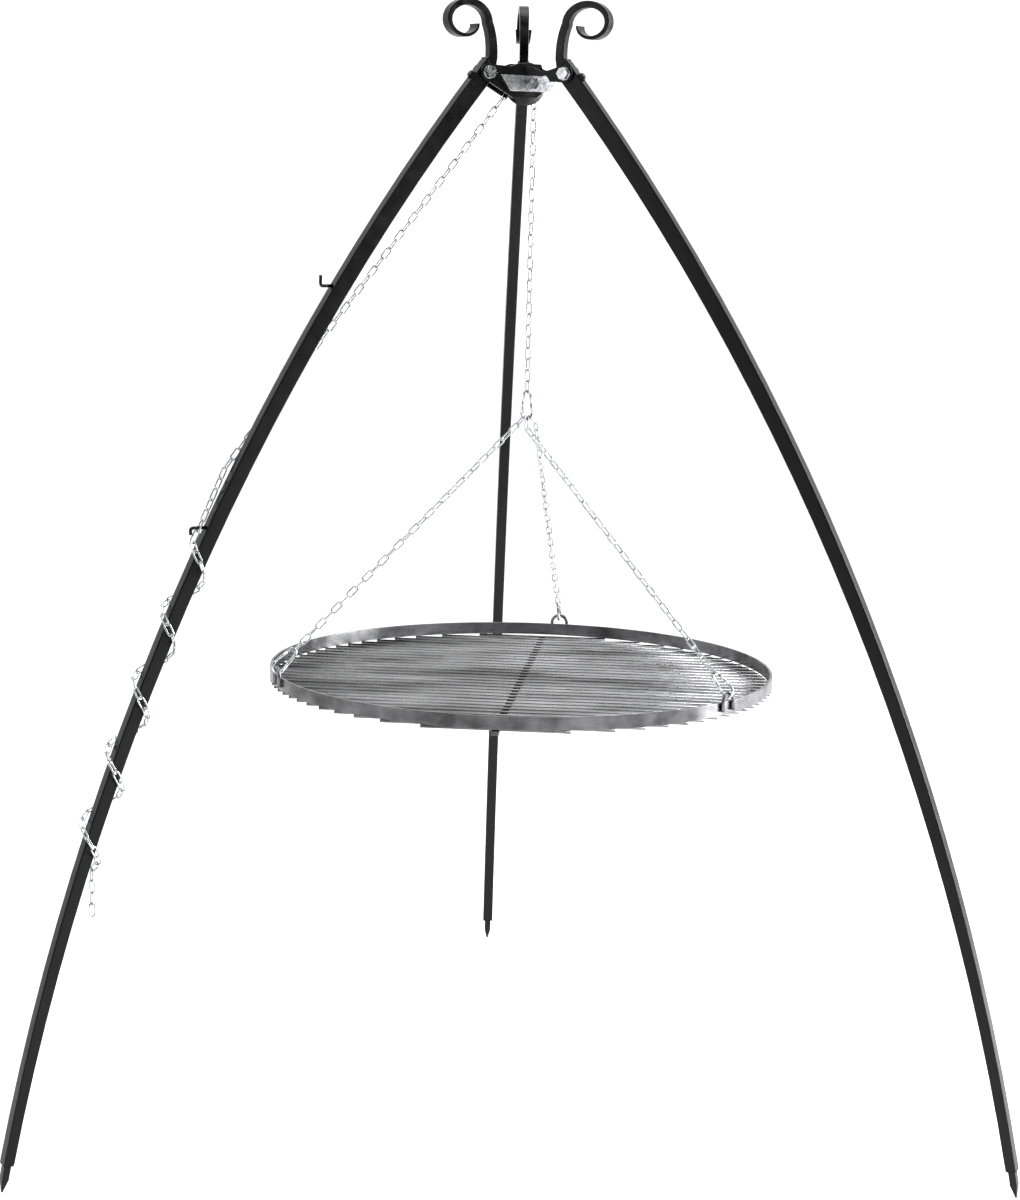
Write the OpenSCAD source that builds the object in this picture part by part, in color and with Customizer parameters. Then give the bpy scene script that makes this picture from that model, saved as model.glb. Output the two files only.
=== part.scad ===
/* [Tripod] */
// Height of the leg hinges above the ground
hinge_height = 1638; // [1500:1:1750]
// Distance of each leg hinge from the centre line
hinge_radius = 74; // [72:1:80]
// Distance of each foot point from the centre line
foot_radius = 865; // [750:5:950]
// How far the middle of a leg bows out from the straight line between hinge and foot
leg_bow = 116; // [80:1:140]
// Width of a leg, seen from the outside
leg_width = 18; // [18:1:18]
// Depth of a leg at its hinge
leg_depth_top = 28; // [24:1:30]
// Depth of a leg at its foot
leg_depth_foot = 16; // [15:1:22]
// Wall of the box section
leg_wall = 2; // [1.5:0.5:2.5]

/* [Pulley] */
// How far the pulley axle lies below the leg hinges
axle_drop = 15; // [12:1:18]
// Radius of the pulley's flanges
flange_radius = 32.5; // [31:0.5:33]
// Diameter of the bolts at the hinges and the axle
bolt_d = 10; // [8:1:10]

/* [Chain] */
// Diameter of the chain's wire
wire = 2.5; // [2:0.1:2.6]
// Pitch of the chain
pitch = 17.5; // [17:0.1:18]
// Inside width of a link
link_gap = 6; // [5.8:0.1:6.2]

/* [Grate] */
// Links of the drop chain, from the pulley to the top carabiner
drop_links = 27; // [25:2:29]
// Links of each bridle chain, from the top carabiner to the grate
bridle_links = 30; // [28:2:32]
// Outside diameter of the grate
grate_d = 800; // [760:10:820]
// Height of the rim's flat bar
rim_height = 20; // [15:1:25]
// Thickness of the rim's flat bar
rim_wall = 4; // [3:0.5:5]
// Diameter of the rods
rod_d = 5; // [4:0.5:6]
// Distance between the rods
rod_spacing = 24; // [20:1:30]
// Turn of the rods about the centre line
rod_turn = -8; // [-30:1:30]
// Direction of the back lifting eye
eye_turn = 78; // [60:1:100]

/* [Hidden] */

BLACK = "#1c1c1e";
ZINC = "#c9cbd0";
STEEL = "#b4b6b8";

left_az = 210;
right_az = 330;
back_az = 90;
fine = 64;
round_fn = 32;
wire_fn = 20;

// Leg arc: every point of the centre line is found from its slope, measured from the vertical
chord = [foot_radius - hinge_radius, -hinge_height];
chord_length = norm(chord);
arc_radius = (pow(chord_length / 2, 2) + pow(leg_bow, 2)) / (2 * leg_bow);
chord_slope = atan2(chord.x, -chord.y);
half_turn = asin(chord_length / 2 / arc_radius);
arc_centre = [(hinge_radius + foot_radius) / 2, hinge_height / 2]
    - (arc_radius - leg_bow) * [cos(chord_slope), sin(chord_slope)];
hinge_slope = chord_slope + half_turn;
foot_slope = chord_slope - half_turn;
deg_per_mm = 180 / (PI * arc_radius);

spike_length = 42;
tube_top_slope = hinge_slope + 15 * deg_per_mm;
tube_foot_slope = foot_slope + spike_length * deg_per_mm;
spike_d = 11;
spike_tang = 40;
spike_point = 20;

// Head
head_gap = leg_width + 2;
plate = 4;
cheek_inner = head_gap / 2;
cheek_outer = cheek_inner + plate;
axle_z = hinge_height - axle_drop;
pulley_half = 9;
zinc_plate = 3;
hex_af = 1.65 * bolt_d;
hex_height = 0.65 * bolt_d;
washer_d = 2 * bolt_d;
washer_t = 2;
bore = bolt_d + 0.1;

// Chain
link_inner = pitch + 0.35;
link_end_r = (link_gap + wire) / 2;
link_half = (link_inner - link_gap) / 2;
wrap_radius = pitch;
wrap_start = 188;
wrap_step = -60;
wrap_links = 3;
hook_d = 5;

// Hanging set
spine_d = 5;
carabiner_wide_r = 9.5;
carabiner_narrow_r = 6;
carabiner_span = 29.5;
gate_d = 4.4;

function unit(v) = v / norm(v);
function leg_point(slope, off = 0) = arc_centre + (arc_radius + off) * [cos(slope), sin(slope)];
function leg_depth(slope) =
    leg_depth_foot + (leg_depth_top - leg_depth_foot) * (slope - foot_slope) / (2 * half_turn);
// Slope of the leg at a height, from the arc
function slope_at(z) = asin((z - arc_centre.y) / arc_radius);

// Circle through three points, as [centre, radius]
function circle_through(a, b, c) =
    let (
        d = 2 * (a.x * (b.y - c.y) + b.x * (c.y - a.y) + c.x * (a.y - b.y)),
        ux = ((a * a) * (b.y - c.y) + (b * b) * (c.y - a.y) + (c * c) * (a.y - b.y)) / d,
        uy = ((a * a) * (c.x - b.x) + (b * b) * (a.x - c.x) + (c * c) * (b.x - a.x)) / d
    )
    [[ux, uy], norm(a - [ux, uy])];

function face_circle(side) =
    circle_through(
        leg_point(foot_slope, side * leg_depth_foot / 2),
        leg_point(chord_slope, side * (leg_depth_top + leg_depth_foot) / 4),
        leg_point(hinge_slope, side * leg_depth_top / 2)
    );
outer_face = face_circle(1);
inner_face = face_circle(-1);

// Everything of a leg is drawn in its own plane: X outwards, Y sideways, Z up
module in_leg(azimuth) {
    rotate([0, 0, azimuth]) children();
}

// Extrudes an outline drawn in the XZ plane to both sides of it
module upright(width) {
    rotate([90, 0, 0])
        linear_extrude(width, center = true)
            children();
}

// Puts a shape drawn along Z between two points, turned by roll about its own length
module between(a, b, roll) {
    z = unit(b - a);
    side = abs(z.z) > 0.9 ? [1, 0, 0] : [0, 0, 1];
    x = unit(cross(side, z));
    y = cross(z, x);
    m = (a + b) / 2;
    multmatrix([
        [x.x, y.x, z.x, m.x],
        [x.y, y.y, z.y, m.y],
        [x.z, y.z, z.z, m.z],
        [0, 0, 0, 1]
    ])
        rotate([0, 0, roll]) children();
}

module hex_prism(af, h) {
    cylinder(h = h, d = af / cos(30), $fn = 6);
}

// ---------------------------------------------------------------- legs

module sector(from, to) {
    reach = 2 * arc_radius;
    polygon([
        arc_centre,
        arc_centre + reach * [cos(from), sin(from)],
        arc_centre + reach * [cos(to), sin(to)]
    ]);
}

module leg_band(inset, from, to) {
    upright(leg_width - 2 * inset)
        intersection() {
            difference() {
                translate(outer_face[0]) circle(r = outer_face[1] - inset, $fn = 720);
                translate(inner_face[0]) circle(r = inner_face[1] + inset, $fn = 720);
            }
            sector(from, to);
        }
}

// Stands a shape on the leg's axis, +X outwards and +Z up along the leg
module on_leg(slope, along = 0) {
    p = leg_point(slope);
    translate([p.x, 0, p.y])
        rotate([0, -slope, 0])
            translate([0, 0, along]) children();
}

plug_above = 15;
plug_below = 28;
screw_along = -18;
screw_d = 8;
screw_head_d = 14;

module hinge_bore(d) {
    on_leg(hinge_slope)
        rotate([90, 0, 0]) cylinder(h = 3 * leg_width, d = d, center = true, $fn = round_fn);
}

module screw_bore(d) {
    on_leg(hinge_slope, screw_along)
        rotate([0, 90, 0]) cylinder(h = leg_depth_top, d = d, $fn = round_fn);
}

module leg_tube() {
    color(BLACK)
        difference() {
            leg_band(0, tube_foot_slope, tube_top_slope);
            leg_band(leg_wall, tube_foot_slope - 1, tube_top_slope + 1);
            hinge_bore(bore);
            screw_bore(screw_d + 0.4);
        }
}

// Solid end plug in the top of the tube, which carries the scroll
module end_plug() {
    depth = leg_depth_top - 2 * leg_wall - 1;
    width = leg_width - 2 * leg_wall - 0.4;
    color(BLACK)
        difference() {
            union() {
                on_leg(hinge_slope)
                    translate([-depth / 2, -width / 2, -plug_below])
                        cube([depth, width, plug_below + plug_above]);
                on_leg(hinge_slope, plug_above)
                    translate([-leg_depth_top / 2, -leg_width / 2, 0.1])
                        cube([leg_depth_top, leg_width, 3]);
            }
            hinge_bore(bolt_d + 3);
            screw_bore(screw_d);
        }
}

module scroll_bolt() {
    shank_from = 8.5;
    face = leg_depth_top / 2 + 0.1;
    color(BLACK)
        on_leg(hinge_slope, screw_along)
            rotate([0, 90, 0]) {
                translate([0, 0, shank_from])
                    cylinder(h = face - shank_from, d = screw_d - 0.2, $fn = round_fn);
                translate([0, 0, face]) cylinder(h = 2, d = screw_head_d, $fn = round_fn);
                translate([0, 0, face + 2]) cylinder(h = 3, d = screw_d + 2, $fn = round_fn);
            }
}

// Forged scroll: a stem that bends outwards, then a curl that tightens, thins and widens to its tip
scroll_root = leg_point(hinge_slope) + (plug_above + 3.15) * [-sin(hinge_slope), cos(hinge_slope)];
curl_centre = scroll_root + [47, 60];
curl_turn = 350;
curl_steps = 40;
stem_steps = 8;
function curl_radius(t) = 39 - 8 * t - 14 * t * t;
function curl_angle(t) = 180 - curl_turn * t;
function curl_point(t) =
    curl_centre + curl_radius(t) * [cos(curl_angle(t)), 0.82 * sin(curl_angle(t))];
function stem_point(t) =
    pow(1 - t, 2) * scroll_root
    + 2 * t * (1 - t) * (scroll_root + [-3, 34])
    + t * t * curl_point(0);
scroll_line = concat(
    [for (i = [0 : stem_steps - 1]) stem_point(i / stem_steps)],
    [for (i = [0 : curl_steps]) curl_point(i / curl_steps)]
);
scroll_last = len(scroll_line) - 1;
function scroll_depth(t) = 15 - 12 * t;
function scroll_width(t) = 14 + 12 * pow(t, 2);
function scroll_normal(i) =
    let (d = unit(scroll_line[min(i + 1, scroll_last)] - scroll_line[i - 1]))
    i == 0 ? -[cos(hinge_slope), sin(hinge_slope)] : [-d.y, d.x];

module scroll() {
    corners = [[-1, -1], [1, -1], [1, 1], [-1, 1]];
    points = [
        for (i = [0 : scroll_last], c = corners)
            let (
                t = i / scroll_last,
                p = scroll_line[i] + c.x * scroll_depth(t) / 2 * scroll_normal(i)
            )
            [p.x, c.y * scroll_width(t) / 2, p.y]
    ];
    sides = [
        for (i = [0 : scroll_last - 1], k = [0 : 3])
            let (a = 4 * i + k, b = 4 * i + (k + 1) % 4)
            [a, b, b + 4, a + 4]
    ];
    last_ring = 4 * scroll_last;
    color(BLACK)
        polyhedron(
            points = points,
            faces = concat(
                sides,
                [[3, 2, 1, 0], [last_ring, last_ring + 1, last_ring + 2, last_ring + 3]]
            )
        );
}

// Square spike at the foot, with a tang that fills the end of the tube
spike_tip = 1;
module spike_outline() {
    polygon([
        [-spike_d / 2, spike_length],
        [-spike_d / 2, spike_point],
        [-spike_tip, 0],
        [spike_tip, 0],
        [spike_d / 2, spike_point],
        [spike_d / 2, spike_length]
    ]);
}

module spike() {
    depth = leg_depth_foot - 2 * leg_wall - 1.9;
    width = leg_width - 2 * leg_wall - 0.4;
    color(BLACK)
        translate([foot_radius, 0, spike_tip * sin(foot_slope)])
            rotate([0, -foot_slope, 0]) {
                intersection() {
                    upright(2 * spike_d) spike_outline();
                    rotate([0, 0, 90]) upright(2 * spike_d) spike_outline();
                }
                translate([-depth / 2, -width / 2, spike_length])
                    cube([depth, width, spike_tang]);
            }
}

// ---------------------------------------------------------------- hooks on the left leg

utensil_hook_z = 1309;
chain_hook_z = 959;
hook_bend = 4;
utensil_reach = 15;
utensil_tip = 12;
chain_reach = 20;
chain_tip = 6;
weld_gap = 0.1;

module hook_bar(reach, tip) {
    translate([-hook_d, 0, 0])
        rotate([0, 90, 0]) cylinder(h = reach + hook_d, d = hook_d, $fn = round_fn);
    translate([reach, 0, hook_bend])
        rotate([90, 0, 0])
            rotate([0, 0, -90])
                rotate_extrude(angle = 90, $fn = fine)
                    translate([hook_bend, 0]) circle(d = hook_d, $fn = round_fn);
    translate([reach + hook_bend, 0, hook_bend])
        cylinder(h = tip, d = hook_d, $fn = round_fn);
}

// Round bar out of the leg's outer face, bent up (turn 1) or down (turn -1) at its end
module hook(z, turn, reach, tip) {
    slope = slope_at(z);
    start = leg_point(slope, leg_depth(slope) / 2 + weld_gap);
    color(BLACK)
        in_leg(left_az)
            translate([start.x, 0, start.y])
                difference() {
                    mirror([0, 0, turn > 0 ? 0 : 1]) hook_bar(reach, tip);
                    rotate([0, -slope, 0])
                        translate([-2 * hook_d, -hook_d, -2 * hook_d])
                            cube([2 * hook_d, 2 * hook_d, 4 * hook_d]);
                }
}

// ---------------------------------------------------------------- head

module bolt_hole(x, z) {
    translate([x, 0, z])
        rotate([90, 0, 0]) cylinder(h = 100, d = bore, center = true, $fn = round_fn);
}

eye_r = 13;

// Side plate of the head: a gusset from the left leg's hinge to the pulley
module cheek(side) {
    color(BLACK)
        in_leg(left_az)
            difference() {
                translate([0, side * (cheek_inner + plate / 2), 0])
                    upright(plate) {
                        translate([hinge_radius, hinge_height]) circle(r = eye_r, $fn = fine);
                        translate([0, hinge_height])
                            polygon([
                                [hinge_radius + 2, 12.8], [36, 10], [20, 15], [-20, 15], [-25, 4],
                                [-22, -30], [-12, -36], [30, -37], [hinge_radius + 8, -10]
                            ]);
                    }
                bolt_hole(hinge_radius, hinge_height);
                bolt_hole(0, axle_z);
            }
}

module fork_outline() {
    translate([0, hinge_height])
        polygon([
            [0, 13], [20, 10], [34, 4], [46, 5], [hinge_radius - 4, 12.3],
            [hinge_radius, 0], [hinge_radius - 4, -12.3], [50, -12], [44, -4], [34, -2], [0, -1.5]
        ]);
    translate([hinge_radius, hinge_height]) circle(r = eye_r, $fn = fine);
}

// Pair of fork plates that carry the right or the back leg, welded to the outside of a cheek
module fork(azimuth, side) {
    half_space = 200;
    color(BLACK)
        difference() {
            in_leg(azimuth)
                for (s = [-1, 1])
                    translate([0, s * (cheek_inner + plate / 2), 0])
                        upright(plate) fork_outline();
            in_leg(left_az)
                translate([
                    -half_space / 2,
                    side > 0 ? cheek_outer - half_space : -cheek_outer,
                    axle_z - half_space / 2
                ])
                    cube(half_space);
            in_leg(azimuth) bolt_hole(hinge_radius, hinge_height);
        }
}

// Stop block behind a leg's top end, which ends its outward swing
stop_gap = 0.3;
module leg_stop() {
    depth = 7;
    on_leg(hinge_slope)
        translate([-leg_depth_top / 2 - stop_gap - depth, -cheek_inner + 0.05, 3])
            cube([depth, 2 * cheek_inner - 0.1, 10]);
}

module leg_stops() {
    color(BLACK)
        for (az = [left_az, right_az, back_az]) in_leg(az) leg_stop();
}

module pulley_plate(side) {
    color(ZINC)
        in_leg(left_az)
            difference() {
                translate([0, side * (cheek_outer + zinc_plate / 2 + 0.05), axle_z])
                    upright(zinc_plate)
                        polygon([[54, 12.2], [-50, 12.2], [-35, -11.8], [37, -11.8]]);
                bolt_hole(0, axle_z);
            }
}

// Pulley with a slot for the upright links inside a wider groove for the flat ones
module pulley() {
    boss = bolt_d + 2;
    face = pulley_half - 0.5;
    color(BLACK)
        in_leg(left_az)
            translate([0, 0, axle_z])
                rotate([90, 0, 0])
                    rotate_extrude($fn = 96)
                        polygon([
                            [bore / 2, -pulley_half], [bolt_d, -pulley_half], [boss, -face],
                            [flange_radius - 1, -face], [flange_radius, 1 - face],
                            [flange_radius, -7], [13.4, -6.4], [12.6, -2.4], [9.2, -2.2],
                            [9.2, 2.2], [12.6, 2.4], [13.4, 6.4], [flange_radius, 7],
                            [flange_radius, face - 1], [flange_radius - 1, face],
                            [boss, face], [bolt_d, pulley_half], [bore / 2, pulley_half]
                        ]);
}

// Bolt along Y, its head on the side given, through a stack of half-thickness grip
module cross_bolt(side, grip, tail) {
    rotate([side > 0 ? -90 : 90, 0, 0]) {
        translate([0, 0, -grip - tail]) cylinder(h = 2 * grip + tail, d = bolt_d, $fn = round_fn);
        translate([0, 0, grip]) hex_prism(hex_af, hex_height);
    }
}

nut_height = 0.8 * bolt_d;
module cross_nut(side, grip) {
    rotate([side > 0 ? -90 : 90, 0, 0])
        translate([0, 0, -grip - nut_height])
            difference() {
                hex_prism(hex_af, nut_height - 0.05);
                translate([0, 0, -1]) cylinder(h = nut_height + 2, d = bore, $fn = round_fn);
            }
}

module washer() {
    difference() {
        cylinder(h = washer_t, d = washer_d, center = true, $fn = fine);
        cylinder(h = 2 * washer_t, d = bore, center = true, $fn = round_fn);
    }
}

hinge_grip = cheek_outer + washer_t + 0.1;
axle_grip = cheek_outer + zinc_plate + washer_t + 0.15;
bolt_tail = nut_height + 2.5;

// Bolt heads face the open side between the left and right legs
hinge_sides = [[left_az, 1], [right_az, -1], [back_az, 1]];

module hinge_bolts() {
    color(ZINC)
        for (h = hinge_sides)
            in_leg(h[0])
                translate([hinge_radius, 0, hinge_height]) cross_bolt(h[1], hinge_grip, bolt_tail);
}

module hinge_nuts() {
    color(ZINC)
        for (h = hinge_sides)
            in_leg(h[0])
                translate([hinge_radius, 0, hinge_height]) cross_nut(h[1], hinge_grip);
}

module hinge_washers() {
    color(ZINC)
        for (h = hinge_sides, s = [-1, 1])
            in_leg(h[0])
                translate([hinge_radius, s * (cheek_outer + washer_t / 2 + 0.05), hinge_height])
                    rotate([90, 0, 0]) washer();
}

module pulley_axle() {
    color(ZINC)
        in_leg(left_az) translate([0, 0, axle_z]) cross_bolt(1, axle_grip, bolt_tail);
}

module axle_nut() {
    color(ZINC)
        in_leg(left_az) translate([0, 0, axle_z]) cross_nut(1, axle_grip);
}

module axle_washers() {
    color(BLACK)
        for (s = [-1, 1])
            in_leg(left_az)
                translate([0, s * (cheek_outer + zinc_plate + washer_t / 2 + 0.1), axle_z])
                    rotate([90, 0, 0]) washer();
}

// ---------------------------------------------------------------- chain

// One welded link along Z, its long sides apart along X
module link() {
    for (s = [-1, 1]) {
        translate([0, 0, s * link_half])
            rotate([90, 0, 0])
                rotate([0, 0, s > 0 ? 0 : 180])
                    rotate_extrude(angle = 180, $fn = fine / 2)
                        translate([link_end_r, 0]) circle(d = wire, $fn = wire_fn);
        translate([s * link_end_r, 0, -link_half])
            cylinder(h = 2 * link_half, d = wire, $fn = wire_fn);
    }
}

// Links from joint to joint along a list of points, every other one turned a quarter
module chain(joints, roll = 0) {
    color(ZINC)
        for (i = [0 : len(joints) - 2])
            between(joints[i], joints[i + 1], roll + 90 * (i % 2)) link();
}

// Point at a distance along a path of straight stretches
function along(p, d, i = 0) =
    let (s = norm(p[i + 1] - p[i]))
    d <= s || i == len(p) - 2
        ? p[i] + d * unit(p[i + 1] - p[i])
        : along(p, d - s, i + 1);

// In the left leg's plane: joints over the pulley
wrap_joints = [
    for (i = [0 : wrap_links])
        [0, 0, axle_z] + wrap_radius * [cos(wrap_start + i * wrap_step), 0, sin(wrap_start + i * wrap_step)]
];

// From the pulley the chain runs inside the leg, passes behind it and ends on the chain hook
chain_side = leg_width / 2 + link_end_r + wire / 2 + 0.5;
winding_radius = 20.5;
hook_slope = slope_at(chain_hook_z);
hook_bar_z = leg_point(hook_slope, leg_depth(hook_slope) / 2).y;
end_gap = link_inner - pitch;
joint_z = hook_bar_z - hook_d / 2 - 0.2 - wire - end_gap / 2;
joint_slope = asin((joint_z - arc_centre.y) / (arc_radius + winding_radius));
joint_point = leg_point(joint_slope, winding_radius);
last_point = leg_point(joint_slope + pitch * deg_per_mm, winding_radius);
cross_high = leg_point(slope_at(1190), -14);
cross_low = leg_point(slope_at(1040), 17);
hoist_path = [
    wrap_joints[wrap_links],
    [cross_high.x, -chain_side, cross_high.y],
    [cross_low.x, -chain_side, cross_low.y],
    [last_point.x, 0, last_point.y],
    [joint_point.x, 0, joint_point.y]
];
hoist_links = 49;
hoist_joints = concat(
    [for (i = [0 : hoist_links - 2]) along(hoist_path, i * pitch)],
    [hoist_path[3], hoist_path[4]]
);

// Below the hook the spare chain winds down around the leg
winding_rise = 110;
winding_step = 360 * pitch / norm([2 * PI * winding_radius, winding_rise]);
winding_links = 44;
tail_links = 4;
function winding_point(i) =
    let (
        turn = winding_step * i,
        slope = joint_slope - (pitch + winding_rise * turn / 360) * deg_per_mm,
        p = leg_point(slope, winding_radius * cos(turn))
    )
    [p.x, winding_radius * sin(turn), p.y];
winding_joints = concat(
    [hoist_path[len(hoist_path) - 1]],
    [for (i = [0 : winding_links]) winding_point(i)],
    [for (i = [1 : tail_links]) winding_point(winding_links) - [0, 0, pitch * i]]
);

// ---------------------------------------------------------------- hanging set

drop_top = wrap_joints[0];
function drop_joint(i) = drop_top - [0, 0, i * pitch];

module drop_part(first, last) {
    in_leg(left_az)
        chain([for (i = [first : last]) drop_joint(i)], 90 * (first % 2));
}

// Everything that hangs is placed from the drop chain's own line
module on_drop_line() {
    in_leg(left_az) translate([drop_top.x, 0, 0]) rotate([0, 0, -left_az]) children();
}

// How far the middle of a link's end wire lies beyond its joint
end_offset = (link_inner + wire - pitch) / 2;
seat_gap = 0.2;
seat = (spine_d + wire) / 2 + seat_gap;

// Pear-shaped snap hook along Z: wide end at the origin, narrow end up, mouth on +X
tangent_turn = asin((carabiner_wide_r - carabiner_narrow_r) / carabiner_span);
carabiner_top = carabiner_span + carabiner_narrow_r;
// The straight sides are drawn a little thinner than the bends and run a little way into them
side_d = spine_d - 0.1;
side_root = 0.02;
gate_low = 0.155;
gate_high = 0.865;
gate_play = 0.03;

module ring_arc(r, from, sweep) {
    rotate([90, 0, 0])
        rotate([0, 0, from])
            rotate_extrude(angle = sweep, $fn = fine)
                translate([r, 0]) circle(d = spine_d, $fn = wire_fn);
}

module carabiner_side(d, from, to) {
    length = carabiner_span * cos(tangent_turn);
    translate(carabiner_wide_r * [cos(tangent_turn), 0, sin(tangent_turn)])
        rotate([0, -tangent_turn, 0])
            translate([0, 0, from * length]) cylinder(h = (to - from) * length, d = d, $fn = wire_fn);
}

module carabiner() {
    color(ZINC) {
        ring_arc(carabiner_wide_r, 180 - tangent_turn, 180 + 2 * tangent_turn);
        translate([0, 0, carabiner_span]) ring_arc(carabiner_narrow_r, tangent_turn, 180 - 2 * tangent_turn);
        mirror([1, 0, 0]) carabiner_side(side_d, -side_root, 1 + side_root);
        carabiner_side(side_d, -side_root, gate_low - gate_play);
        carabiner_side(side_d, gate_high + gate_play, 1 + side_root);
    }
}

module gate() {
    color(ZINC) carabiner_side(gate_d, gate_low, gate_high);
}

top_carabiner_z = drop_joint(drop_links).z - end_offset + seat - carabiner_top;
module at_top_carabiner() {
    on_drop_line() translate([0, 0, top_carabiner_z]) rotate([0, 0, left_az]) children();
}

// The first links of the bridles fan out over the wide end of the top carabiner
fan_turn = 45;
bend_play = 0.8;
bridle_azimuths = [eye_turn + 120, eye_turn + 240, eye_turn];
bridle_fans = [fan_turn, 0, -fan_turn];
carabiner_side_dir = [cos(left_az), sin(left_az), 0];
carabiner_normal = [-sin(left_az), cos(left_az), 0];

function fan_dir(k) = sin(bridle_fans[k]) * carabiner_side_dir - [0, 0, cos(bridle_fans[k])];
function bridle_start(k) =
    [0, 0, top_carabiner_z] + (carabiner_wide_r - seat + end_offset) * fan_dir(k);
function bridle_second(k) = bridle_start(k) + (pitch - bend_play) * fan_dir(k);

// Lifting eyes: round rod arches welded to the outside of the rim
eye_rod = 6;
eye_arch_r = 13;
eye_leg = 15;
rim_r = grate_d / 2;
eye_radius = rim_r + eye_rod / 2 + 0.05;
eye_seat = (eye_rod + spine_d) / 2 + seat_gap;
carabiner_origin = carabiner_wide_r - eye_seat;
bridle_end = carabiner_origin + carabiner_top - seat + end_offset;
bridle_length = (bridle_links - 1) * pitch + bridle_end;
eye_z = bridle_second(1).z - sqrt(pow(bridle_length, 2) - pow(eye_radius, 2));
grate_top = eye_z - eye_arch_r - 1;

function eye_at(k) = [eye_radius * cos(bridle_azimuths[k]), eye_radius * sin(bridle_azimuths[k]), eye_z];
function bridle_up(k) = unit(bridle_second(k) - eye_at(k));

// Roll that puts a link between a and b across the carabiner's plane or along it
function tangent(z) = unit(cross([0, 0, 1], z));
function roll_towards(z, v) = atan2(v * cross(z, tangent(z)), v * tangent(z));
function half_turns(a) = a - 180 * round(a / 180);

module bridle(k) {
    last = bridle_links - 1;
    a = bridle_second(k);
    b = eye_at(k) + bridle_end * bridle_up(k);
    first_roll = roll_towards(-bridle_up(k), cross(fan_dir(k), carabiner_normal));
    twist = half_turns(-first_roll - 90 * (last - 1));
    on_drop_line() {
        chain([bridle_start(k), a], bridle_fans[k] == 0 ? -left_az : 0);
        color(ZINC)
            for (i = [0 : last - 1])
                between(
                    a + (b - a) * i / last,
                    a + (b - a) * (i + 1) / last,
                    first_roll + 90 * i + twist * i / (last - 1)
                )
                    link();
    }
}

module at_carabiner(k) {
    z = bridle_up(k);
    y = unit(cross(z, [cos(bridle_azimuths[k]), sin(bridle_azimuths[k]), 0]));
    x = cross(y, z);
    o = eye_at(k) + carabiner_origin * z;
    on_drop_line()
        multmatrix([
            [x.x, y.x, z.x, o.x],
            [x.y, y.y, z.y, o.y],
            [x.z, y.z, z.z, o.z],
            [0, 0, 0, 1]
        ])
            children();
}

// ---------------------------------------------------------------- grate

rod_z = grate_top - rim_height - rod_d / 2 - 0.05;
bar_width = 12;
bar_height = 6;

module grate_rim() {
    color(STEEL)
        on_drop_line()
            translate([0, 0, grate_top - rim_height])
                difference() {
                    cylinder(h = rim_height, r = rim_r, $fn = 360);
                    translate([0, 0, -1]) cylinder(h = rim_height + 2, r = rim_r - rim_wall, $fn = 360);
                }
}

module grate_rods() {
    side_rods = floor((rim_r - rod_d) / rod_spacing);
    color(STEEL)
        on_drop_line()
            rotate([0, 0, rod_turn])
                for (i = [-side_rods : side_rods]) {
                    offset = i * rod_spacing;
                    length = 2 * sqrt(pow(rim_r - 0.5, 2) - pow(offset, 2));
                    translate([0, offset, rod_z])
                        rotate([0, 90, 0]) cylinder(h = length, d = rod_d, center = true, $fn = wire_fn);
                }
}

module grate_bar() {
    color(STEEL)
        on_drop_line()
            rotate([0, 0, rod_turn])
                translate([-bar_width / 2, 10 - rim_r, rod_z - rod_d / 2 - 0.05 - bar_height])
                    cube([bar_width, 2 * (rim_r - 10), bar_height]);
}

module grate_eyes() {
    color(STEEL)
        on_drop_line()
            for (k = [0 : 2])
                rotate([0, 0, bridle_azimuths[k]])
                    translate([eye_radius, 0, eye_z - eye_arch_r])
                        rotate([0, 0, 90]) {
                            rotate([90, 0, 0])
                                rotate_extrude(angle = 180, $fn = fine)
                                    translate([eye_arch_r, 0]) circle(d = eye_rod, $fn = wire_fn);
                            for (s = [-1, 1])
                                translate([s * eye_arch_r, 0, -eye_leg])
                                    cylinder(h = eye_leg, d = eye_rod, $fn = wire_fn);
                        }
}

cheek(1);  // cheek_front
cheek(-1);  // cheek_back
fork(right_az, 1);  // fork_right
fork(back_az, -1);  // fork_back
leg_stops();
pulley_plate(1);  // pulley_plate_front
pulley_plate(-1);  // pulley_plate_back
pulley();
pulley_axle();
axle_nut();
axle_washers();
hinge_bolts();
hinge_washers();
hinge_nuts();
in_leg(left_az) leg_tube();  // left_tube
in_leg(left_az) end_plug();  // left_end_plug
in_leg(left_az) scroll();  // left_scroll
in_leg(left_az) scroll_bolt();  // left_scroll_bolt
in_leg(left_az) spike();  // left_spike
in_leg(right_az) leg_tube();  // right_tube
in_leg(right_az) end_plug();  // right_end_plug
in_leg(right_az) scroll();  // right_scroll
in_leg(right_az) scroll_bolt();  // right_scroll_bolt
in_leg(right_az) spike();  // right_spike
in_leg(back_az) leg_tube();  // back_tube
in_leg(back_az) end_plug();  // back_end_plug
in_leg(back_az) scroll();  // back_scroll
in_leg(back_az) scroll_bolt();  // back_scroll_bolt
in_leg(back_az) spike();  // back_spike
hook(utensil_hook_z, 1, utensil_reach, utensil_tip);  // utensil_hook
hook(chain_hook_z, -1, chain_reach, chain_tip);  // chain_hook
in_leg(left_az) chain(wrap_joints, 90);  // pulley_links
in_leg(left_az) chain(hoist_joints, 0);  // hoist_chain
in_leg(left_az) chain(winding_joints, 90);  // winding_chain
drop_part(0, 1);  // top_link
drop_part(1, drop_links - 2);  // drop_chain
drop_part(drop_links - 2, drop_links - 1);  // swivel_link
drop_part(drop_links - 1, drop_links);  // end_link
at_top_carabiner() carabiner();  // top_carabiner
at_carabiner(0) carabiner();  // left_carabiner
at_carabiner(1) carabiner();  // right_carabiner
at_carabiner(2) carabiner();  // back_carabiner
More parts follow.
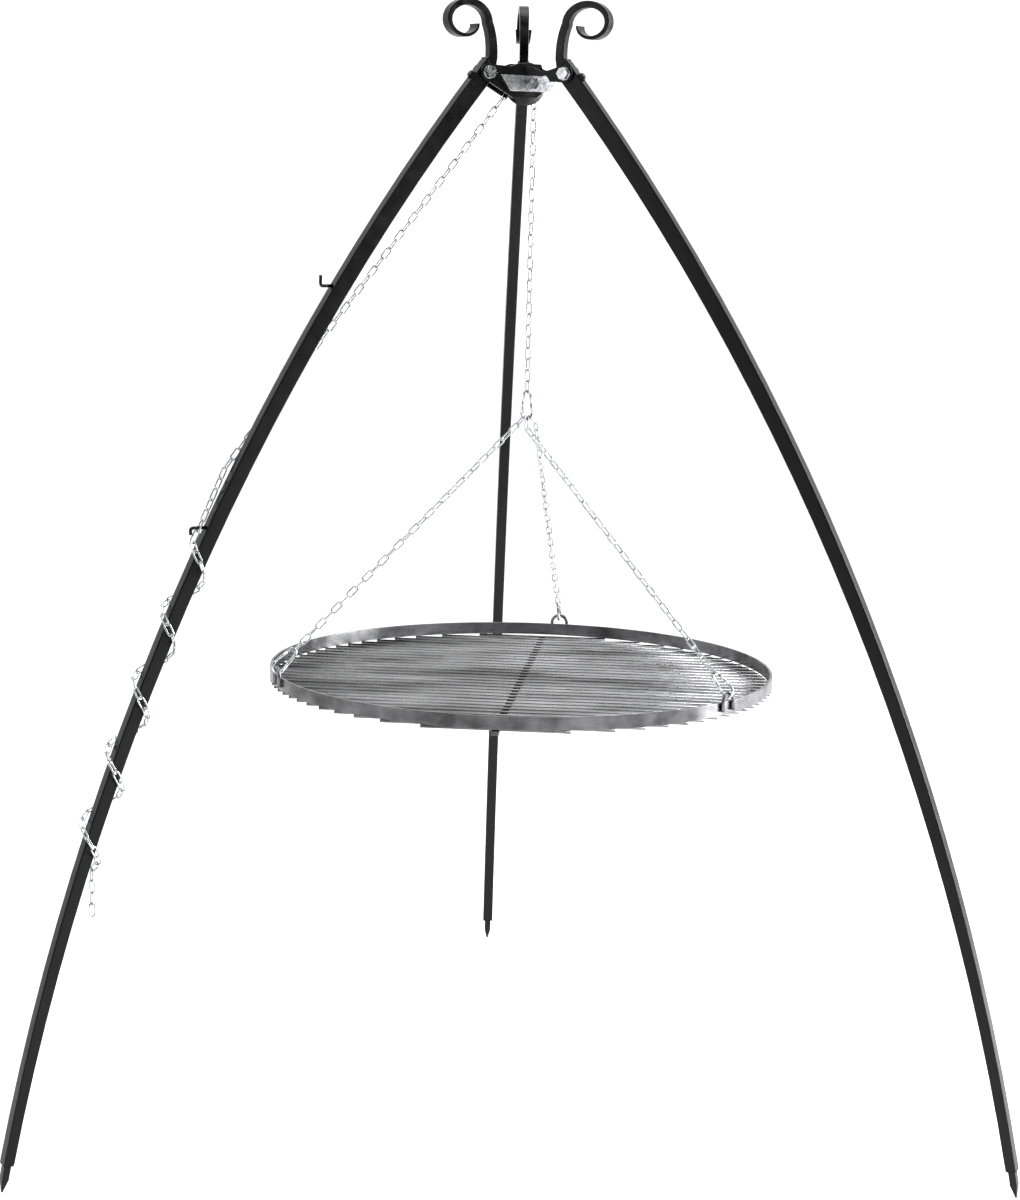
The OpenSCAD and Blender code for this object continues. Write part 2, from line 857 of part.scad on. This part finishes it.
at_top_carabiner() gate();  // top_gate
at_carabiner(0) gate();  // left_gate
at_carabiner(1) gate();  // right_gate
at_carabiner(2) gate();  // back_gate
bridle(0);  // left_bridle
bridle(1);  // right_bridle
bridle(2);  // back_bridle
grate_rim();
grate_rods();
grate_bar();
grate_eyes();
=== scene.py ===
import math

import bpy
from mathutils import Matrix, Vector


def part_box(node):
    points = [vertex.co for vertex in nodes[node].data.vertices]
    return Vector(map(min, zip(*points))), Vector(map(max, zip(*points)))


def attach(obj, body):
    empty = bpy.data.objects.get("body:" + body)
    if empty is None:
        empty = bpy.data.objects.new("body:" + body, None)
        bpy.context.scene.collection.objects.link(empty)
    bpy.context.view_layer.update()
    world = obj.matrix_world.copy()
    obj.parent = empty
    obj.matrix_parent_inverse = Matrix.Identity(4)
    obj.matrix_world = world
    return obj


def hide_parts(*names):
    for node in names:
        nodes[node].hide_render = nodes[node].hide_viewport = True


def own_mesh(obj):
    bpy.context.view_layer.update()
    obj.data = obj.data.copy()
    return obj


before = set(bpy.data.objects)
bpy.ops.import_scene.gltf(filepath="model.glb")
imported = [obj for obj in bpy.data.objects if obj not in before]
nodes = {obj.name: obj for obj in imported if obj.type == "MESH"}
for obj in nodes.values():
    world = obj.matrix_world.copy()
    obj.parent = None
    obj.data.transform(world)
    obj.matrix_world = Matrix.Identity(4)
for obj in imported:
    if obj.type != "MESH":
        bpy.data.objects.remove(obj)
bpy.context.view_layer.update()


# ---------------------------------------------------------------- materials


class Graph:
    """A material's node tree, with short ways to add and join nodes."""

    def __init__(self, name):
        self.material = bpy.data.materials.new(name)
        self.material.use_nodes = True
        self.tree = self.material.node_tree
        self.shader = self.tree.nodes["Principled BSDF"]
        self.place = self.add("ShaderNodeTexCoord").outputs["Object"]

    def add(self, kind, **inputs):
        node = self.tree.nodes.new(kind)
        for key, value in inputs.items():
            node.inputs[key.replace("_", " ")].default_value = value
        return node

    def join(self, source, target):
        self.tree.links.new(source, target)

    def noise(self, scale, detail=4.0, stretch=(1, 1, 1)):
        mapping = self.add("ShaderNodeMapping", Scale=stretch)
        self.join(self.place, mapping.inputs["Vector"])
        noise = self.add("ShaderNodeTexNoise", Scale=scale, Detail=detail)
        self.join(mapping.outputs["Vector"], noise.inputs["Vector"])
        return noise.outputs["Fac"]

    def ramp(self, source, low, high, start=0.35, end=0.65):
        """Colours or greys from low to high as source goes from start to end."""
        ramp = self.add("ShaderNodeValToRGB")
        self.join(source, ramp.inputs["Fac"])
        ends = ramp.color_ramp.elements
        ends[0].position = start
        ends[1].position = end
        ends[0].color = (*low, 1) if isinstance(low, tuple) else (low, low, low, 1)
        ends[1].color = (*high, 1) if isinstance(high, tuple) else (high, high, high, 1)
        return ramp.outputs["Color"]

    def bump(self, height, strength, distance):
        bump = self.add("ShaderNodeBump", Strength=strength, Distance=distance)
        self.join(height, bump.inputs["Height"])
        self.join(bump.outputs["Normal"], self.shader.inputs["Normal"])

    def drive(self, **sources):
        for key, source in sources.items():
            self.join(source, self.shader.inputs[key.replace("_", " ")])

    def fix(self, **values):
        for key, value in values.items():
            self.shader.inputs[key.replace("_", " ")].default_value = value


def black_paint():
    g = Graph("black_paint")
    broad = g.noise(9.0)
    fine = g.noise(900.0, 2.0)
    g.drive(
        Base_Color=g.ramp(broad, (0.001, 0.001, 0.0012), (0.003, 0.003, 0.0032)),
        Roughness=g.ramp(g.noise(40.0), 0.24, 0.34),
    )
    g.fix(Metallic=0.0, Specular_IOR_Level=0.2)
    g.bump(fine, 0.08, 0.0004)
    return g.material


def forged_black():
    g = Graph("forged_black")
    hammer = g.noise(60.0, 3.0)
    g.drive(
        Base_Color=g.ramp(g.noise(25.0), (0.001, 0.001, 0.001), (0.004, 0.004, 0.004)),
        Roughness=g.ramp(g.noise(70.0), 0.22, 0.36),
    )
    g.fix(Metallic=0.0, Specular_IOR_Level=0.22)
    g.bump(hammer, 0.25, 0.0012)
    return g.material


def zinc(name, low, high, rough_low, rough_high):
    g = Graph(name)
    g.drive(
        Base_Color=g.ramp(g.noise(120.0, 6.0), low, high),
        Roughness=g.ramp(g.noise(220.0), rough_low, rough_high),
    )
    g.fix(Metallic=1.0)
    g.bump(g.noise(700.0, 2.0), 0.12, 0.0003)
    return g.material


def brushed_steel():
    g = Graph("brushed_steel")
    streaks = g.noise(35.0, 5.0, (1.0, 1.0, 40.0))
    g.drive(
        Base_Color=g.ramp(g.noise(18.0, 6.0), (0.07, 0.07, 0.072), (0.22, 0.22, 0.225)),
        Roughness=g.ramp(streaks, 0.24, 0.42),
    )
    g.fix(Metallic=1.0)
    g.bump(streaks, 0.1, 0.0003)
    return g.material


def rod_steel():
    g = Graph("rod_steel")
    drawn = g.noise(14.0, 4.0, (0.3, 1.5, 1.5))
    g.drive(
        Base_Color=g.ramp(drawn, (0.10, 0.10, 0.102), (0.30, 0.30, 0.305)),
        Roughness=g.ramp(g.noise(90.0), 0.22, 0.38),
    )
    g.fix(Metallic=1.0)
    g.bump(g.noise(400.0, 2.0), 0.1, 0.0003)
    return g.material


paint = black_paint()
forged = forged_black()
chain_zinc = zinc("chain_zinc", (0.34, 0.35, 0.37), (0.66, 0.67, 0.69), 0.16, 0.3)
plate_zinc = zinc("plate_zinc", (0.30, 0.31, 0.32), (0.46, 0.47, 0.49), 0.3, 0.45)
steel = brushed_steel()
rods = rod_steel()


FORGED_WORDS = ("scroll", "spike", "utensil_hook", "chain_hook")
PLATE_WORDS = ("pulley_plate", "washer")
ZINC_WORDS = ("chain", "link", "bridle", "carabiner", "gate", "pulley", "nut", "hinge_bolts")


def has_word(name, words):
    return any(word in name for word in words)


def material_for(name):
    if name == "grate_rods":
        return rods
    if name.startswith("grate_"):
        return steel
    if name == "pulley":
        return paint
    if has_word(name, FORGED_WORDS):
        return forged
    if has_word(name, PLATE_WORDS):
        return plate_zinc
    if has_word(name, ZINC_WORDS):
        return chain_zinc
    return paint


# Bevel width in metres by the first word that a piece's name holds
BEVELS = {
    "tube": 0.0022,
    "scroll": 0.0012,
    "end_plug": 0.0006,
    "spike": 0.0006,
    "cheek": 0.0007,
    "fork": 0.0007,
    "pulley_plate": 0.0006,
    "leg_stops": 0.0006,
    "hinge": 0.0005,
    "axle": 0.0005,
    "grate_rim": 0.0008,
    "grate_bar": 0.0008,
}


WELD_DISTANCE = 0.000005
BEVEL_SEGMENTS = 3
SHARP_EDGE = math.radians(35)
FACE_WEIGHT = 80


def bevel_for(name):
    return next((width for word, width in BEVELS.items() if word in name), 0)


def finish_surface(obj, width):
    """Joined faces, rounded edges and smooth shading, without touching the CAD vertices."""
    mesh = obj.data
    mesh.polygons.foreach_set("use_smooth", [True] * len(mesh.polygons))
    if "custom_normal" in mesh.attributes:
        mesh.attributes.remove(mesh.attributes["custom_normal"])
    weld = obj.modifiers.new("weld", "WELD")
    weld.merge_threshold = WELD_DISTANCE
    if width:
        bevel = obj.modifiers.new("bevel", "BEVEL")
        bevel.width = width
        bevel.segments = BEVEL_SEGMENTS
        bevel.limit_method = "ANGLE"
        bevel.angle_limit = SHARP_EDGE
        normals = obj.modifiers.new("normals", "WEIGHTED_NORMAL")
        normals.weight = FACE_WEIGHT


def paint_object(obj, material):
    obj.data.materials.clear()
    obj.data.materials.append(material)


for name, obj in nodes.items():
    paint_object(obj, material_for(name))
    finish_surface(obj, bevel_for(name))


# ---------------------------------------------------------------- drop chain

PITCH = 0.0175
END_GAP = 0.00035
LINK_GAP = 0.006
WIRE_R = 0.00125
LINK_R = LINK_GAP / 2 + WIRE_R
LINK_HALF = (PITCH + END_GAP - LINK_GAP) / 2
DROP_LINKS = 24
WIRE_STEPS = 14
BEND_STEPS = 12
LEFT_LEG = math.radians(210)
leg_axis = Vector((math.cos(LEFT_LEG), math.sin(LEFT_LEG), 0))
side_axis = Vector((-leg_axis.y, leg_axis.x, 0))
up_axis = Vector((0, 0, 1))
drop_low, drop_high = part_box("drop_chain")
drop_centre = (Vector(drop_low) + Vector(drop_high)) / 2


def link_line():
    """Centre line of one link in its own plane: (across, up) and the outward direction."""
    for end in (1, -1):
        for step in range(BEND_STEPS + 1):
            a = math.pi * step / BEND_STEPS
            out = Vector((math.cos(a), math.sin(a))) * end
            yield Vector((0, end * LINK_HALF)) + LINK_R * out, out


def add_link(vertices, faces, centre, across):
    normal = across.cross(up_axis)
    first = len(vertices)
    rings = list(link_line())
    for point, out in rings:
        outward = across * out.x + up_axis * out.y
        for k in range(WIRE_STEPS):
            a = 2 * math.pi * k / WIRE_STEPS
            offset = WIRE_R * (math.cos(a) * outward + math.sin(a) * normal)
            vertices.append(centre + across * point.x + up_axis * point.y + offset)
    for i in range(len(rings)):
        for k in range(WIRE_STEPS):
            a = first + i * WIRE_STEPS + k
            b = first + i * WIRE_STEPS + (k + 1) % WIRE_STEPS
            ahead = ((i + 1) % len(rings) - i) * WIRE_STEPS
            faces.append((a, a + ahead, b + ahead, b))


def drop_chain():
    """The drop chain's links in one mesh, every other one turned a quarter."""
    vertices = []
    faces = []
    middle = (DROP_LINKS - 1) / 2
    for i in range(DROP_LINKS):
        centre = drop_centre + (middle - i) * PITCH * up_axis
        add_link(vertices, faces, centre, leg_axis if i % 2 == 0 else side_axis)
    mesh = bpy.data.meshes.new("drop_links")
    mesh.from_pydata([tuple(v) for v in vertices], [], faces)
    mesh.polygons.foreach_set("use_smooth", [True] * len(mesh.polygons))
    obj = bpy.data.objects.new("drop_links", mesh)
    bpy.context.scene.collection.objects.link(obj)
    paint_object(obj, chain_zinc)
    return obj


# The drop chain rebuilt as separate links, carried by the drop body in place of the drop_chain
# piece
links = drop_chain()
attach(links, "drop")
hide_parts("drop_chain")
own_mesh(links)


# ---------------------------------------------------------------- studio


def stage_material(name, low, high):
    g = Graph(name)
    g.drive(
        Base_Color=g.ramp(g.noise(0.8), low, high),
        Roughness=g.ramp(g.noise(3.0), 0.85, 0.95),
    )
    return g.material


FLOOR_SIZE = 60
FLOOR_DROP = 0.001


def add_floor():
    bpy.ops.mesh.primitive_plane_add(size=FLOOR_SIZE, location=(0, 0, -FLOOR_DROP))
    floor = bpy.context.object
    floor.name = "floor"
    paint_object(floor, stage_material("floor_white", (0.93, 0.93, 0.93), (0.96, 0.96, 0.96)))


def add_light(name, position, size, power):
    """A rectangular area light turned to the middle of the object."""
    light = bpy.data.lights.new(name, "AREA")
    light.shape = "RECTANGLE"
    light.size = size[0]
    light.size_y = size[1]
    light.energy = power
    obj = bpy.data.objects.new(name, light)
    bpy.context.scene.collection.objects.link(obj)
    obj.location = position
    direction = LIGHT_TARGET - Vector(position)
    obj.rotation_euler = direction.to_track_quat("-Z", "Y").to_euler()


DARK_SIDE = (0.02, 0.02, 0.02, 1)
WHITE_SIDE = (1, 1, 1, 1)
WORLD_STRENGTH = 1.35


def world_step(tree, value, start, end):
    """0 below start, 1 above end."""
    step = tree.nodes.new("ShaderNodeMapRange")
    step.inputs["From Min"].default_value = start
    step.inputs["From Max"].default_value = end
    tree.links.new(value, step.inputs["Value"])
    return step.outputs["Result"]


def add_world():
    """White behind and above the object, dark on the camera's side, so that metal has contrast."""
    world = bpy.data.worlds.new("studio")
    world.use_nodes = True
    tree = world.node_tree
    split = tree.nodes.new("ShaderNodeSeparateXYZ")
    direction = tree.nodes.new("ShaderNodeTexCoord").outputs["Generated"]
    tree.links.new(direction, split.inputs["Vector"])
    behind = world_step(tree, split.outputs["Y"], -0.25, 0.05)
    above = world_step(tree, split.outputs["Z"], 0.45, 0.75)
    either = tree.nodes.new("ShaderNodeMath")
    either.operation = "MAXIMUM"
    tree.links.new(behind, either.inputs[0])
    tree.links.new(above, either.inputs[1])
    ramp = tree.nodes.new("ShaderNodeValToRGB")
    ramp.color_ramp.elements[0].color = DARK_SIDE
    ramp.color_ramp.elements[1].color = WHITE_SIDE
    tree.links.new(either.outputs["Value"], ramp.inputs["Fac"])
    background = tree.nodes["Background"]
    background.inputs["Strength"].default_value = WORLD_STRENGTH
    tree.links.new(ramp.outputs["Color"], background.inputs["Color"])
    bpy.context.scene.world = world
    bpy.context.scene.view_settings.view_transform = "Standard"


LIGHT_TARGET = Vector((0, 0, 1.1))
add_floor()
add_world()
add_light("key", (4.2, 0.3, 2.0), (1.6, 3.4), 420)
add_light("fill", (-3.6, -2.0, 2.4), (1.0, 2.5), 20)
add_light("top", (0.0, 0.3, 4.4), (2.0, 2.0), 40)


# ---------------------------------------------------------------- camera

# The camera's horizontal distance from the centre line and its direction, then where it looks
CAMERA_DISTANCE = 4.043
CAMERA_AZIMUTH = math.radians(-92.48)
CAMERA_HEIGHT = 1.486
VIEW_AZIMUTH = math.radians(87.60)
VIEW_DOWN = math.radians(9.378)
VIEW_ROLL = math.radians(1.257)
SENSOR_HEIGHT = 24
FOCAL_LENGTH = 51.58


def add_camera():
    data = bpy.data.cameras.new("camera")
    data.sensor_fit = "VERTICAL"
    data.sensor_height = SENSOR_HEIGHT
    data.lens = FOCAL_LENGTH
    camera = bpy.data.objects.new("camera", data)
    bpy.context.scene.collection.objects.link(camera)
    forward = Vector((
        math.cos(VIEW_AZIMUTH) * math.cos(VIEW_DOWN),
        math.sin(VIEW_AZIMUTH) * math.cos(VIEW_DOWN),
        -math.sin(VIEW_DOWN),
    ))
    right = forward.cross(up_axis).normalized()
    up = right.cross(forward)
    rolled_right = right * math.cos(VIEW_ROLL) + up * math.sin(VIEW_ROLL)
    rolled_up = up * math.cos(VIEW_ROLL) - right * math.sin(VIEW_ROLL)
    turn = Matrix((rolled_right, rolled_up, -forward)).transposed()
    place = Vector((
        CAMERA_DISTANCE * math.cos(CAMERA_AZIMUTH),
        CAMERA_DISTANCE * math.sin(CAMERA_AZIMUTH),
        CAMERA_HEIGHT,
    ))
    camera.matrix_world = Matrix.Translation(place) @ turn.to_4x4()
    bpy.context.scene.camera = camera


add_camera()
